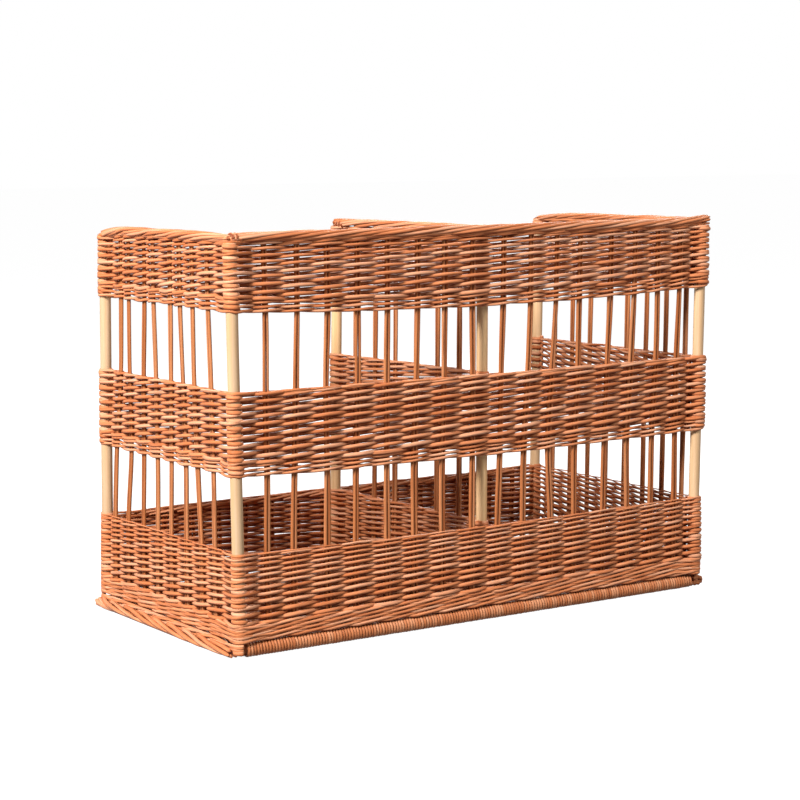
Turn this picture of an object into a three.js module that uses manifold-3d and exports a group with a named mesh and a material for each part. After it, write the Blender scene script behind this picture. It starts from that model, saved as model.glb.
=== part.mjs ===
// A free-standing basket of buff willow for long loaves, with two bays side by side.
// The front wall and both ends are tall. The back wall is low, so that loaves are drawn out over it.
// Millimetres, +Z up. The origin is on the floor under the basket's middle, and the tall front wall is at -Y.

import * as THREE from "three";
import { mergeVertices } from "three/addons/utils/BufferGeometryUtils.js";
import Module from "manifold-3d";

// Plan
const POST_SPACING_X = 700; // between the centres of the corner posts along the front, at the floor
const POST_SPACING_Y = 355; // between the centres of the front and back corner posts, at the floor
const DIVIDER_TURN = 2.8; // degrees by which the divider, set by hand, stands off square

// How far the corners, set by hand, lean at the full height: along +X and along +Y.
const FRONT_LEFT_LEAN = [-4, 0];
const FRONT_RIGHT_LEAN = [13, 0];
const BACK_LEFT_LEAN = [0, -17];
const BACK_RIGHT_LEAN = [12, 0];

// Heights. The upper window takes up what the others leave.
const HEIGHT = 500; // from the floor to the top of the border
const BASE_THICKNESS = 18; // mat, edge rails and foot borders alike
const BOTTOM_BAND = 106;
const LOWER_WINDOW = 91;
const MIDDLE_BAND = 98;
const TOP_BAND = 80;
const BORDER_HEIGHT = 12;

// Rods
const POST_DIAMETER = 14.4;
const STAKE_ROD = 4; // a stake is two of these side by side along its wall
const WEAVER = 4; // thickness of the rods that are woven in and out of the stakes
const CLEARANCE = 0.3; // gap between pieces that touch
const MAT_STICKS = 9; // stout sticks along the basket, over and under which the mat is woven
const MAT_EDGE_GAP = 22.5; // from an edge rail's middle to the nearest stick

// Stakes
const FRONT_STAKES = 16;
const FRONT_LEFT_GAP = 44; // from the left corner post to the first stake
const FRONT_RIGHT_GAP = 26; // from the last stake to the right corner post
const END_STAKES = 8;
const LEFT_BACK_GAP = 48; // from the back corner post to the left end's first stake
const LEFT_FRONT_GAP = 58.5;
const RIGHT_BACK_GAP = 43;
const RIGHT_FRONT_GAP = 26;
const DIVIDER_STAKES = 6;
const BACK_STAKES = 16;
const BACK_CORNER_GAP = 42; // from a back corner post to the nearest short stake
const STAKE_ROUNDING = 0.6; // share of a stake's half thickness that its corners lose

// How far each stake, set by hand, stands off its even place, to the right as seen from outside the wall:
// in the bottom band, at the foot and at the top of the middle band, and in the top band.
const FRONT_LEAN = [
  [-5, -2, -2, -1],
  [-11, -8, -3, 0],
  [-6, -5, -5, -1],
  [-8, -6, -3, -1],
  [-5, -5, -4, -1],
  [-7, -7, -3, 0],
  [-7, -7, -4, -3],
  [-5, -4, -3, -4],
  [-7, -4, -2, 1],
  [-9, -8, -3, 1],
  [-7, -13, -7, -1],
  [-11, -12, -7, -6],
  [-5, -5, -2, 2],
  [-6, -10, -4, -1],
  [-8, -9, -4, -5],
  [-9, -11, -12, -9],
];
const LEFT_LEAN = [
  [-24, -18, -1, 1],
  [-21, -8, -12, -11],
  [-12, -8, -6, 0],
  [-8, -5, -6, -10],
  [-6, -2, 0, 2],
  [-1, 2, -2, -7],
  [2, -3, -8, -8],
  [1, 2, 1, -3],
];

// Borders and feet
const TOP_BORDER_WIDTH = 18;
const DIVIDER_BORDER_WIDTH = 16;
const BORDER_SWELL = 5.5; // how much further a border reaches round a post than across a wall
const BORDER_CHAMFER = 3;
const FOOT_PROUD = 16; // how far a foot border stands out from its end wall
const FOOT_TAPER = 34; // length over which a foot border narrows at the front corner
const FOOT_CHAMFER = 5;
const POST_LIP = 1; // how far the divider's weave stops short of the far side of its posts

// Roundness of posts, rails and outlines
const POST_SIDES = 16;
const RAIL_SIDES = 12;
const ARC_STEP = 24; // degrees

const X = POST_SPACING_X / 2;
const Y = POST_SPACING_Y / 2;
const POST_RADIUS = POST_DIAMETER / 2;
const HALF_BAND = STAKE_ROD / 2 + WEAVER;
const WAIST = (WEAVER + CLEARANCE) / 2; // half thickness of a band where its rods cross between two stakes
const SHOULDER = STAKE_ROD + WEAVER / 2; // how far along the wall a band keeps its thickness beside a stake
const BOSS_RADIUS = POST_RADIUS + WEAVER; // weave turned round a post
const BOSS_EDGE = Math.sqrt(BOSS_RADIUS ** 2 - HALF_BAND ** 2); // where that meets the wall's face
const DIVIDER_POST_Y = Y - HALF_BAND - CLEARANCE - POST_RADIUS;

const WALL_FOOT = BASE_THICKNESS + CLEARANCE;
const BOTTOM_BAND_TOP = BASE_THICKNESS + BOTTOM_BAND;
const BACK_BAND_TOP = BOTTOM_BAND_TOP - BORDER_HEIGHT;
const MIDDLE_BAND_FOOT = BOTTOM_BAND_TOP + LOWER_WINDOW;
const MIDDLE_BAND_TOP = MIDDLE_BAND_FOOT + MIDDLE_BAND;
const BORDER_FOOT = HEIGHT - BORDER_HEIGHT;
const TOP_BAND_FOOT = BORDER_FOOT - TOP_BAND;
const UPRIGHT_TOP = BORDER_FOOT - CLEARANCE;
const LEAN_LEVELS = [BOTTOM_BAND_TOP, MIDDLE_BAND_FOOT, MIDDLE_BAND_TOP, TOP_BAND_FOOT];

const wasm = await Module();
wasm.setup();

const basket = new THREE.Group();

function willow() {
  return new THREE.MeshStandardMaterial({ color: 0xc98a58, roughness: 0.5, metalness: 0 });
}

function peeledWood() {
  return new THREE.MeshStandardMaterial({ color: 0xe6cda0, roughness: 0.6, metalness: 0 });
}

// Leans a piece with the corners: each point moves by a blend of their leans, in proportion to its height.
function leanWithCorners(geometry) {
  const place = geometry.getAttribute("position");
  for (let i = 0; i < place.count; i++) {
    const [x, y] = [place.getX(i), place.getY(i)];
    const right = (x + X) / (2 * X);
    const back = (y + Y) / (2 * Y);
    const share = place.getZ(i) / HEIGHT;
    const [alongX, alongY] = [0, 1].map((k) => {
      const front = THREE.MathUtils.lerp(FRONT_LEFT_LEAN[k], FRONT_RIGHT_LEAN[k], right);
      const rear = THREE.MathUtils.lerp(BACK_LEFT_LEAN[k], BACK_RIGHT_LEAN[k], right);
      return share * THREE.MathUtils.lerp(front, rear, back);
    });
    place.setX(i, x + alongX);
    place.setY(i, y + alongY);
  }
  geometry.computeVertexNormals();
}

// The value at a place along straight stretches between knots, each a place and a value, and 0 outside them.
function between(knots, place) {
  const after = knots.findIndex(([at]) => place < at);
  if (after <= 0) return 0;
  const [start, from] = knots[after - 1];
  const [end, to] = knots[after];
  return THREE.MathUtils.mapLinear(place, start, end, from, to);
}

// A stake's lean at a height: steady in the bottom and top bands, and straight from one level to the next.
function leanAt(lean, z) {
  if (z <= LEAN_LEVELS[0]) return lean[0];
  if (z >= LEAN_LEVELS.at(-1)) return lean.at(-1);
  return between(
    LEAN_LEVELS.map((level, i) => [level, lean[i]]),
    z,
  );
}

// The lean of a wall at a place along it: a stake's own beside the stake, and a blend between neighbours.
// Places are measured from the wall's middle, to the right as seen from outside. end is where corners start.
function wallLean(stakes, leans, end, place, z) {
  const knots = stakes.flatMap((stake, i) => {
    const lean = leanAt(leans[i % leans.length], z);
    return [
      [stake - SHOULDER, lean],
      [stake + SHOULDER, lean],
    ];
  });
  return between([[-end, 0], ...knots, [end, 0]], place);
}

// Lets a piece of the front or of the left wall lean with its stakes.
function leanWithStakes(geometry) {
  const place = geometry.getAttribute("position");
  const fromMiddle = leftStakes.map((y) => -y);
  for (let i = 0; i < place.count; i++) {
    const [x, y, z] = [place.getX(i), place.getY(i), place.getZ(i)];
    if (Math.abs(y + Y) <= HALF_BAND) {
      place.setX(i, x + wallLean(frontStakes, FRONT_LEAN, X - BOSS_EDGE, x, z));
    } else if (Math.abs(x + X) <= HALF_BAND) {
      place.setY(i, y - wallLean(fromMiddle, LEFT_LEAN, Y - BOSS_EDGE, -y, z));
    }
  }
  return geometry;
}

function addPiece(name, geometry, material) {
  leanWithCorners(geometry);
  const mesh = new THREE.Mesh(geometry, material);
  mesh.name = name;
  basket.add(mesh);
}

// Turns a piece of the divider from its own upright plane to where it stands in the basket.
function addDividerPiece(name, geometry, material) {
  geometry.rotateZ(THREE.MathUtils.degToRad(DIVIDER_TURN));
  addPiece(name, geometry, material);
}

// Points on an arc, in degrees, with both ends. It runs clockwise where the last angle is the smaller one.
function arc(x, y, radius, from, to) {
  const steps = Math.max(1, Math.round(Math.abs(to - from) / ARC_STEP));
  return Array.from({ length: steps + 1 }, (_, i) => {
    const angle = THREE.MathUtils.degToRad(from + ((to - from) * i) / steps);
    return new THREE.Vector2(x + radius * Math.cos(angle), y + radius * Math.sin(angle));
  });
}

// The angle at which a face this far from a circle's centre meets the circle.
function meetingAngle(offset, radius) {
  return THREE.MathUtils.radToDeg(Math.asin(offset / radius));
}

// A round hole whose flats clear the post.
function postHole(x, y) {
  const radius = (POST_RADIUS + CLEARANCE) / Math.cos(Math.PI / POST_SIDES);
  const turn = (2 * Math.PI) / POST_SIDES;
  return Array.from({ length: POST_SIDES }, (_, i) => {
    return new THREE.Vector2(x + radius * Math.cos(i * turn), y + radius * Math.sin(i * turn));
  });
}

// Outline of the two rods of a stake, widest along the wall. grow adds to every side.
function stakeOutline(x, y, alongY, grow) {
  const long = STAKE_ROD + grow;
  const thin = STAKE_ROD / 2 + grow;
  const cut = thin * STAKE_ROUNDING;
  const half = [
    [long, cut - thin],
    [long, thin - cut],
    [long - cut, thin],
    [cut - long, thin],
  ];
  const ring = [...half, ...half.map(([u, v]) => [-u, -v])];
  return ring.map(([u, v]) => new THREE.Vector2(x + (alongY ? -v : u), y + (alongY ? u : v)));
}

// The inner side of a border's corner: round over the post where that stands proud, or else a plain corner.
function innerCorner(x, y, from, to, half, radius) {
  if (from < to) return arc(x, y, radius, from, to);
  return [new THREE.Vector2(x - half * Math.sign(x), y + half)];
}

// Points on one face of a woven wall: as thick as the weave beside every stake, and drawn in midway between
// neighbours, where the rods cross. from and to are where the face starts and ends, with the stakes in order.
// pointAt turns a place along the wall and a distance from its middle into a point of the plan.
function wovenFace(stakes, from, to, pointAt) {
  const onward = Math.sign(to - from);
  const ends = [from, ...stakes.flatMap((s) => [s - onward * SHOULDER, s + onward * SHOULDER]), to];
  const points = [];
  for (let i = 0; i < ends.length; i += 2) {
    points.push(pointAt((ends[i] + ends[i + 1]) / 2, WAIST));
    if (i + 2 < ends.length) {
      points.push(pointAt(ends[i + 1], HALF_BAND), pointAt(ends[i + 2], HALF_BAND));
    }
  }
  return points;
}

// Plan outline of one woven band round the left end, the front and the right end.
function bandOutline() {
  const bite = meetingAngle(HALF_BAND, BOSS_RADIUS);
  const endX = X - BOSS_EDGE;
  const endY = Y - BOSS_EDGE;
  return [
    ...arc(-X, Y, BOSS_RADIUS, bite - 90, 270 - bite),
    ...wovenFace(leftStakes, endY, -endY, (y, out) => new THREE.Vector2(-X - out, y)),
    ...arc(-X, -Y, BOSS_RADIUS, 90 + bite, 360 - bite),
    ...wovenFace(frontStakes, -endX, endX, (x, out) => new THREE.Vector2(x, -Y - out)),
    ...arc(X, -Y, BOSS_RADIUS, 180 + bite, 450 - bite),
    ...wovenFace(rightStakes.toReversed(), -endY, endY, (y, out) => new THREE.Vector2(X + out, y)),
    ...arc(X, Y, BOSS_RADIUS, bite - 90, 270 - bite),
    ...wovenFace(rightStakes, endY, -endY, (y, out) => new THREE.Vector2(X - out, y)),
    ...arc(X, -Y, BOSS_RADIUS, 90 + bite, 180 - bite),
    ...wovenFace(frontStakes.toReversed(), endX, -endX, (x, out) => new THREE.Vector2(x, out - Y)),
    ...arc(-X, -Y, BOSS_RADIUS, bite, 90 - bite),
    ...wovenFace(leftStakes.toReversed(), -endY, endY, (y, out) => new THREE.Vector2(out - X, y)),
  ];
}

// Plan outline of the border over the left end, the front and the right end.
function topBorderOutline() {
  const half = TOP_BORDER_WIDTH / 2;
  const radius = half + BORDER_SWELL;
  const bite = meetingAngle(half, radius);
  return [
    ...arc(-X, Y, radius, bite - 90, 270 - bite),
    ...arc(-X, -Y, radius, 90 + bite, 360 - bite),
    ...arc(X, -Y, radius, 180 + bite, 450 - bite),
    ...arc(X, Y, radius, bite - 90, 270 - bite),
    ...innerCorner(X, -Y, 90 + bite, 180 - bite, half, radius),
    ...innerCorner(-X, -Y, bite, 90 - bite, half, radius),
  ];
}

// Plan outline of a divider band, along Y. Each end hooks round a post and stays clear of the wall behind it.
function dividerOutline() {
  const bite = meetingAngle(HALF_BAND, BOSS_RADIUS);
  const tip = POST_RADIUS - POST_LIP;
  const hook = (POST_RADIUS + CLEARANCE) / Math.cos(THREE.MathUtils.degToRad(ARC_STEP / 2));
  const outer = meetingAngle(tip, BOSS_RADIUS);
  const inner = meetingAngle(tip, hook);
  const face = DIVIDER_POST_Y - BOSS_EDGE;
  const half = [
    ...arc(0, DIVIDER_POST_Y, BOSS_RADIUS, bite - 90, outer),
    ...arc(0, DIVIDER_POST_Y, hook, inner, -180 - inner),
    ...arc(0, DIVIDER_POST_Y, BOSS_RADIUS, 180 - outer, 270 - bite),
    ...wovenFace(dividerStakes, face, -face, (y, out) => new THREE.Vector2(-out, y)),
  ];
  return [...half, ...half.map((point) => point.clone().negate())];
}

// Plan outline of the divider's border: square against the front border, round over the back post.
function dividerBorderOutline() {
  const half = DIVIDER_BORDER_WIDTH / 2;
  const round = half + BORDER_SWELL;
  const bite = meetingAngle(half, round);
  const frontEnd = Y - TOP_BORDER_WIDTH / 2 - POST_LIP;
  return [
    ...arc(0, DIVIDER_POST_Y - BORDER_SWELL, round, bite - 90, 270 - bite),
    new THREE.Vector2(-half, -frontEnd),
    new THREE.Vector2(half, -frontEnd),
  ];
}

// An upright solid with a ring of points at each of the levels.
function upright(outline, holes, levels) {
  const shape = new THREE.Shape(outline);
  shape.holes = holes.map((points) => new THREE.Path(points));
  const steps = levels.length - 1;
  const geometry = new THREE.ExtrudeGeometry(shape, { depth: steps, steps, bevelEnabled: false });
  const place = geometry.getAttribute("position");
  for (let i = 0; i < place.count; i++) {
    place.setZ(i, levels[Math.round(place.getZ(i))]);
  }
  return geometry;
}

// An upright solid whose top and bottom edges are chamfered inwards.
function chamfered(outline, foot, top, chamfer) {
  const geometry = new THREE.ExtrudeGeometry(new THREE.Shape(outline), {
    depth: top - foot - 2 * chamfer,
    bevelThickness: chamfer,
    bevelSize: chamfer,
    bevelOffset: -chamfer,
    bevelSegments: 1,
  });
  return geometry.translate(0, 0, foot + chamfer);
}

function post(x, y) {
  const geometry = new THREE.CylinderGeometry(
    POST_RADIUS,
    POST_RADIUS,
    UPRIGHT_TOP - WALL_FOOT,
    POST_SIDES,
  );
  return geometry.rotateX(Math.PI / 2).translate(x, y, (WALL_FOOT + UPRIGHT_TOP) / 2);
}

function solidOf(geometry) {
  geometry.deleteAttribute("normal");
  geometry.deleteAttribute("uv");
  const merged = mergeVertices(geometry);
  return new wasm.Manifold(
    new wasm.Mesh({
      numProp: 3,
      vertProperties: merged.getAttribute("position").array,
      triVerts: Uint32Array.from(merged.index.array),
    }),
  );
}

function geometryOf(solid) {
  const mesh = solid.getMesh();
  return new THREE.BufferGeometry()
    .setAttribute("position", new THREE.BufferAttribute(mesh.vertProperties, 3))
    .setIndex(new THREE.BufferAttribute(mesh.triVerts, 1));
}

function evenly(count, first, last) {
  return Array.from({ length: count }, (_, i) => first + ((last - first) * i) / (count - 1));
}

// Places of the stakes
const frontStakes = evenly(FRONT_STAKES, FRONT_LEFT_GAP - X, X - FRONT_RIGHT_GAP);
const leftStakes = evenly(END_STAKES, Y - LEFT_BACK_GAP, LEFT_FRONT_GAP - Y);
const rightStakes = evenly(END_STAKES, Y - RIGHT_BACK_GAP, RIGHT_FRONT_GAP - Y);
const backStakes = evenly(BACK_STAKES, BACK_CORNER_GAP - X, X - BACK_CORNER_GAP);
const dividerPitch = (2 * DIVIDER_POST_Y) / (DIVIDER_STAKES + 1);
const dividerStakes = evenly(
  DIVIDER_STAKES,
  DIVIDER_POST_Y - dividerPitch,
  dividerPitch - DIVIDER_POST_Y,
);

// Base: a woven mat between two edge rails, with a plaited foot border along each end
const baseHalfLength = X - HALF_BAND - CLEARANCE;
const railInnerY = Y - BASE_THICKNESS / 2;

// Cross section of the mat: flat below, and above a ridge where the weavers pass over each stick.
function matSection() {
  const edge = railInnerY - CLEARANCE;
  const valley = (BASE_THICKNESS + WEAVER) / 2;
  const halfStick = BASE_THICKNESS / 2 - WEAVER;
  const sticks = evenly(MAT_STICKS, Y - MAT_EDGE_GAP, MAT_EDGE_GAP - Y);
  const section = [new THREE.Vector2(-edge, 0), new THREE.Vector2(edge, 0), new THREE.Vector2(edge, valley)];
  sticks.forEach((y, i) => {
    section.push(new THREE.Vector2(y + halfStick, BASE_THICKNESS));
    section.push(new THREE.Vector2(y - halfStick, BASE_THICKNESS));
    const next = i + 1 < sticks.length ? (y + sticks[i + 1]) / 2 : -edge;
    section.push(new THREE.Vector2(next, valley));
  });
  return section;
}

function addBase() {
  const mat = new THREE.ExtrudeGeometry(new THREE.Shape(matSection()), {
    depth: 2 * baseHalfLength,
    bevelEnabled: false,
  });
  mat.rotateX(Math.PI / 2).rotateZ(Math.PI / 2);
  addPiece("base_mat", mat.translate(-baseHalfLength, 0, 0), willow());

  const halfFlat = Math.PI / RAIL_SIDES;
  const cornerRadius = BASE_THICKNESS / 2 / Math.cos(halfFlat);
  for (const [name, side] of [
    ["front_rail", -1],
    ["back_rail", 1],
  ]) {
    const rail = new THREE.CylinderGeometry(
      cornerRadius,
      cornerRadius,
      2 * baseHalfLength,
      RAIL_SIDES,
    );
    rail.rotateY(halfFlat).rotateZ(Math.PI / 2);
    addPiece(name, rail.translate(0, side * Y, BASE_THICKNESS / 2), willow());
  }
}

function addFootBorders() {
  const inner = X - HALF_BAND;
  const outer = X + HALF_BAND + FOOT_PROUD;
  const end = Y + BASE_THICKNESS / 2;
  const plan = [
    [inner, -end],
    [X + BOSS_RADIUS, -end],
    [outer, FOOT_TAPER - end],
    [outer, end - FOOT_CHAMFER],
    [outer - FOOT_CHAMFER, end],
    [inner, end],
  ];
  for (const [name, side] of [
    ["left_foot_border", -1],
    ["right_foot_border", 1],
  ]) {
    const outline = plan.map(([x, y]) => new THREE.Vector2(side * x, y));
    addPiece(name, chamfered(outline, 0, BASE_THICKNESS, FOOT_CHAMFER), willow());
  }
}

// Posts
function addPosts() {
  addPiece("post_front_left", post(-X, -Y), peeledWood());
  addPiece("post_front_right", post(X, -Y), peeledWood());
  addPiece("post_back_left", post(-X, Y), peeledWood());
  addPiece("post_back_right", post(X, Y), peeledWood());
  addDividerPiece("post_divider_front", post(0, -DIVIDER_POST_Y), peeledWood());
  addDividerPiece("post_divider_back", post(0, DIVIDER_POST_Y), peeledWood());
}

// Stakes
function stake(x, y, alongY) {
  return upright(stakeOutline(x, y, alongY, 0), [], [WALL_FOOT, UPRIGHT_TOP]);
}

function leaningStake(x, y, alongY) {
  const levels = [WALL_FOOT, ...LEAN_LEVELS, UPRIGHT_TOP];
  return leanWithStakes(upright(stakeOutline(x, y, alongY, 0), [], levels));
}

function addStakes() {
  frontStakes.forEach((x, i) => {
    const number = String(i + 1).padStart(2, "0");
    addPiece("front_stake_" + number, leaningStake(x, -Y, false), willow());
  });
  leftStakes.forEach((y, i) => {
    addPiece("left_stake_" + (i + 1), leaningStake(-X, y, true), willow());
  });
  rightStakes.forEach((y, i) => {
    addPiece("right_stake_" + (i + 1), stake(X, y, true), willow());
  });
  dividerStakes.forEach((y, i) => {
    addDividerPiece("divider_stake_" + (i + 1), stake(0, y, true), willow());
  });
}

// Woven bands
function addWallBands() {
  const outline = bandOutline();
  const holes = [
    ...[-X, X].flatMap((x) => [postHole(x, -Y), postHole(x, Y)]),
    ...frontStakes.map((x) => stakeOutline(x, -Y, false, CLEARANCE)),
    ...leftStakes.map((y) => stakeOutline(-X, y, true, CLEARANCE)),
    ...rightStakes.map((y) => stakeOutline(X, y, true, CLEARANCE)),
  ];
  const bands = [
    ["bottom_band", WALL_FOOT, BOTTOM_BAND_TOP],
    ["middle_band", MIDDLE_BAND_FOOT, MIDDLE_BAND_TOP],
    ["top_band", TOP_BAND_FOOT, BORDER_FOOT],
  ];
  for (const [name, foot, top] of bands) {
    addPiece(name, leanWithStakes(upright(outline, holes, [foot, top])), willow());
  }
}

function addDividerBands() {
  const holes = dividerStakes.map((y) => stakeOutline(0, y, true, CLEARANCE));
  const bands = [
    ["divider_bottom_band", WALL_FOOT, BOTTOM_BAND_TOP],
    ["divider_middle_band", MIDDLE_BAND_FOOT, MIDDLE_BAND_TOP],
    ["divider_top_band", TOP_BAND_FOOT, BORDER_FOOT],
  ];
  for (const [name, foot, top] of bands) {
    addDividerPiece(name, upright(dividerOutline(), holes, [foot, top]), willow());
  }
}

// Low back wall: a band between the corner posts, and short stakes whose tips are plaited into its border
function addBackWall() {
  const end = X - BOSS_RADIUS - CLEARANCE;
  const [backRight, backLeft, frontLeft, frontRight] = [
    [end, Y + HALF_BAND],
    [-end, Y + HALF_BAND],
    [-end, Y - HALF_BAND],
    [end, Y - HALF_BAND],
  ].map(([x, y]) => new THREE.Vector2(x, y));
  const woven = [
    frontLeft,
    ...wovenFace(backStakes, -end, end, (x, out) => new THREE.Vector2(x, Y - out)),
    frontRight,
    backRight,
    ...wovenFace(backStakes.toReversed(), end, -end, (x, out) => new THREE.Vector2(x, Y + out)),
    backLeft,
  ];
  const holes = backStakes.map((x) => stakeOutline(x, Y, false, CLEARANCE));
  addPiece("back_band", upright(woven, holes, [WALL_FOOT, BACK_BAND_TOP]), willow());

  const borderFoot = BACK_BAND_TOP + CLEARANCE;
  const plain = [frontLeft, frontRight, backRight, backLeft];
  const border = chamfered(plain, borderFoot, BOTTOM_BAND_TOP, BORDER_CHAMFER);
  const plait = backStakes.reduce((joined, x) => {
    const levels = [WALL_FOOT, borderFoot + BORDER_CHAMFER];
    const short = upright(stakeOutline(x, Y, false, 0), [], levels);
    return joined.add(solidOf(short));
  }, solidOf(border));
  addPiece("back_stakes_and_border", geometryOf(plait), willow());
}

// Borders of the tall walls
function addBorders() {
  const foot = BORDER_FOOT + CLEARANCE;
  addPiece("top_border", chamfered(topBorderOutline(), foot, HEIGHT, BORDER_CHAMFER), willow());
  const dividerBorder = chamfered(dividerBorderOutline(), foot, HEIGHT, BORDER_CHAMFER);
  addDividerPiece("divider_border", dividerBorder, willow());
}

// Brings the middle of the finished basket over the origin.
function centre() {
  const middle = new THREE.Box3().setFromObject(basket).getCenter(new THREE.Vector3());
  for (const piece of basket.children) {
    piece.geometry.translate(-middle.x, -middle.y, 0);
  }
}

addBase();
addFootBorders();
addPosts();
addStakes();
addWallBands();
addDividerBands();
addBackWall();
addBorders();
centre();

export default basket;
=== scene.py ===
"""A willow basket for long loaves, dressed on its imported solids. Metres, +Z up, the tall front wall at -Y."""

import bpy
import numpy as np
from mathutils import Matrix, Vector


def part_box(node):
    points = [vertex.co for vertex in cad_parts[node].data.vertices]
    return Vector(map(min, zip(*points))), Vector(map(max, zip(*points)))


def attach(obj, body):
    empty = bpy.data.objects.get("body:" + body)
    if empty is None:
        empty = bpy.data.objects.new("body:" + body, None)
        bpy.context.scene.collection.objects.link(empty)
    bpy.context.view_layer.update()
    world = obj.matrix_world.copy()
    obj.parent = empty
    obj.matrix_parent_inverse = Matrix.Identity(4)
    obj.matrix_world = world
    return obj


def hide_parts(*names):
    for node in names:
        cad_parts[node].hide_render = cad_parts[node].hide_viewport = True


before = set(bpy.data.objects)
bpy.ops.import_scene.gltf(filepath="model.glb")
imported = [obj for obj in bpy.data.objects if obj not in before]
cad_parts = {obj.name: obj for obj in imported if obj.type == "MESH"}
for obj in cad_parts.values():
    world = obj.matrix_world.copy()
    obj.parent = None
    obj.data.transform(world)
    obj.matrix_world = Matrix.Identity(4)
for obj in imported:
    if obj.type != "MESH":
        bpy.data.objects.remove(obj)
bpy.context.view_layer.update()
chance = np.random.default_rng(12)

# Base mat. Stout sticks lie along the basket, and buff willow is woven across them from front to back.
# At the front and at the back each weaver turns tightly round an edge rail and tucks in under the mat.
MM = 0.001
ROD_SIDES = 8
# How far from a wall's or pair's middle the painted shade deep in it reaches.
DEEP_REACH = 2.6 * MM


def sweep(path, wide, high, up=(0.0, 0.0, 1.0), sides=ROD_SIDES, out=None):
    """Tubes round many centre lines at once, each point's place in its rod's grain, and how deep it lies.

    path is (rod, point, xyz); wide and high are half sizes, (rod, point). A ring is an oval square to the
    path: its half width lies along the path's direction crossed with up, its half height square to both.
    out is the path's distance from the middle of its wall or pair: a point there is 1 deep, and a point
    DEEP_REACH off it is 0. The materials paint shade by how deep a point lies.
    """
    step = np.gradient(path, axis=1)
    ahead = step / np.linalg.norm(step, axis=2, keepdims=True)
    across = np.cross(ahead, up)
    across /= np.linalg.norm(across, axis=2, keepdims=True)
    rise = np.cross(across, ahead)
    turn = np.linspace(0, 2 * np.pi, sides, endpoint=False)
    level = wide[:, :, None] * np.cos(turn)
    upright = high[:, :, None] * np.sin(turn)
    surface = path[:, :, None] + level[..., None] * across[:, :, None] + upright[..., None] * rise[:, :, None]
    gone = np.cumsum(np.linalg.norm(np.diff(path, axis=1, prepend=path[:, :1]), axis=2), axis=1)
    grain = np.stack([level, upright, np.broadcast_to(gone[:, :, None], level.shape)], axis=3)
    # How deep a point lies, which the materials turn into painted shade.
    deep = 0 * level if out is None else np.clip(1 - np.abs(out[:, :, None] + level) / DEEP_REACH, 0, 1)
    return surface, grain, deep


def add_piece(piece_name, tubes, material, nodes, tone=None):
    """One mesh of several sets of tubes: quads between neighbouring rings, and a flat cap on each end.

    Every rod gets a tone of its own between 0 and 1, which the materials read, unless one is given.
    """
    places, grains, depths, tones, loops, sizes = [], [], [], [], [], []
    used = 0
    for surface, grain, deep in tubes:
        rods, rings, sides = surface.shape[:3]
        number = used + np.arange(rods * rings * sides).reshape(rods, rings, sides)
        after = np.roll(number, -1, axis=2)
        quads = np.stack([number[:, :-1], number[:, 1:], after[:, 1:], after[:, :-1]], axis=3)
        caps = np.concatenate([number[:, 0], number[:, -1, ::-1]])
        loops += [quads.ravel(), caps.ravel()]
        sizes += [np.full(quads.size // 4, 4), np.full(len(caps), sides)]
        places.append(surface.reshape(-1, 3))
        grains.append(grain.reshape(-1, 3))
        depths.append(deep.ravel())
        tones.append(np.repeat(chance.random(rods) if tone is None else np.full(rods, tone), rings * sides))
        used += rods * rings * sides
    corner, size = np.concatenate(loops), np.concatenate(sizes)
    mesh = bpy.data.meshes.new(piece_name)
    mesh.vertices.add(used)
    mesh.vertices.foreach_set("co", np.concatenate(places).astype(np.float32).ravel())
    mesh.loops.add(len(corner))
    mesh.loops.foreach_set("vertex_index", corner.astype(np.int32))
    mesh.polygons.add(len(size))
    mesh.polygons.foreach_set("loop_start", (np.cumsum(size) - size).astype(np.int32))
    mesh.polygons.foreach_set("use_smooth", size == 4)
    for name, values in (("tone", tones), ("deep", depths)):
        layer = mesh.attributes.new(name, "FLOAT", "POINT")
        layer.data.foreach_set("value", np.concatenate(values).astype(np.float32))
    place = mesh.attributes.new("grain", "FLOAT_VECTOR", "POINT")
    place.data.foreach_set("vector", np.concatenate(grains).astype(np.float32).ravel())
    mesh.update(calc_edges=True)
    mesh.materials.append(material)
    piece = bpy.data.objects.new(piece_name, mesh)
    bpy.context.scene.collection.objects.link(piece)
    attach(piece, "root")
    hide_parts(*nodes)


def put(tree, kind, links=(), **values):
    """A new shader node with the given socket values; links pairs a socket with the output it takes."""
    node = tree.nodes.new(kind)
    for name, value in values.items():
        node.inputs[name.replace("_", " ")].default_value = value
    for socket, source in links:
        tree.links.new(source, node.inputs[socket])
    return node


def calculate(tree, operation, first, second):
    """A math node on two sockets, or on a socket and a number."""
    node = put(tree, "ShaderNodeMath", [(0, first)])
    node.operation = operation
    if isinstance(second, bpy.types.NodeSocket):
        tree.links.new(second, node.inputs[1])
    else:
        node.inputs[1].default_value = second
    return node.outputs[0]


def attribute(tree, name, output):
    """An output of a new node that reads one of the mesh's attributes."""
    node = tree.nodes.new("ShaderNodeAttribute")
    node.attribute_name = name
    return node.outputs[output]


GRAIN_NOISES = (("Streak", 1.0, 3.0), ("Drift", 0.35, 1.0), ("Scar", 0.9, 0.0))
GRAIN_SHIFT = 91.0
SCAR_FROM, SCAR_FULL = 0.72, 0.79


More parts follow.
